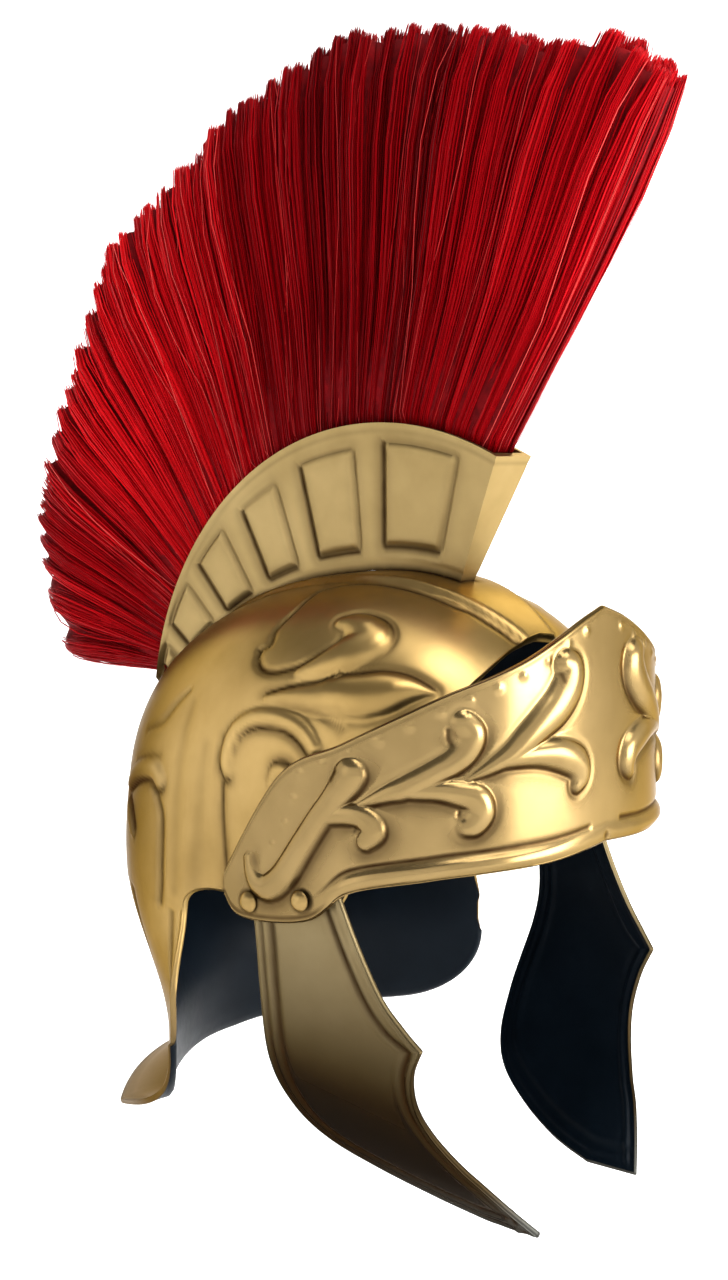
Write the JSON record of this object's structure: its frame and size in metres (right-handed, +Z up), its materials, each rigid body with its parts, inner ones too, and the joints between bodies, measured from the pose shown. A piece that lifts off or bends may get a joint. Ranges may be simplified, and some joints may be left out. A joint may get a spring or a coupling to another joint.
{
  "type": "roman legionary helmet",
  "caption": "Ceremonial centurion helmet: ridged bowl with neck guard, embossed brow visor, pointed cheek guards and a fore-and-aft crest box holding a fan of red hair.",
  "frame": {"origin": "inside of the crown, where the helmet rests on the head", "axes": "+Z up as worn, -Y the wearer's front, +X the wearer's left"},
  "size_m": [0.2112, 0.3628, 0.4783],
  "materials": {
    "gold_shell": "moulded plastic painted antique gold outside, satin black inside",
    "gold_visor": "moulded plastic painted bright antique gold outside, satin black inside",
    "gold_cheek": "moulded plastic painted antique gold, darkened towards the tip, satin black inside",
    "gold_crest": "moulded plastic painted antique gold, dark in the panel grooves",
    "gold_rivet": "domed, antiqued",
    "red_hair": "dyed natural hair, glossy strands in radial clumps"
  },
  "bodies": {
    "root": {"bowl": "gold_shell", "visor": "gold_visor", "cheek_guard_left": "gold_cheek", "cheek_guard_right": "gold_cheek", "crest_box": "gold_crest", "plume": "red_hair", "rivet_left_rear": "gold_rivet", "rivet_left_front": "gold_rivet", "rivet_right_rear": "gold_rivet", "rivet_right_front": "gold_rivet"}
  },
  "joints": []
}
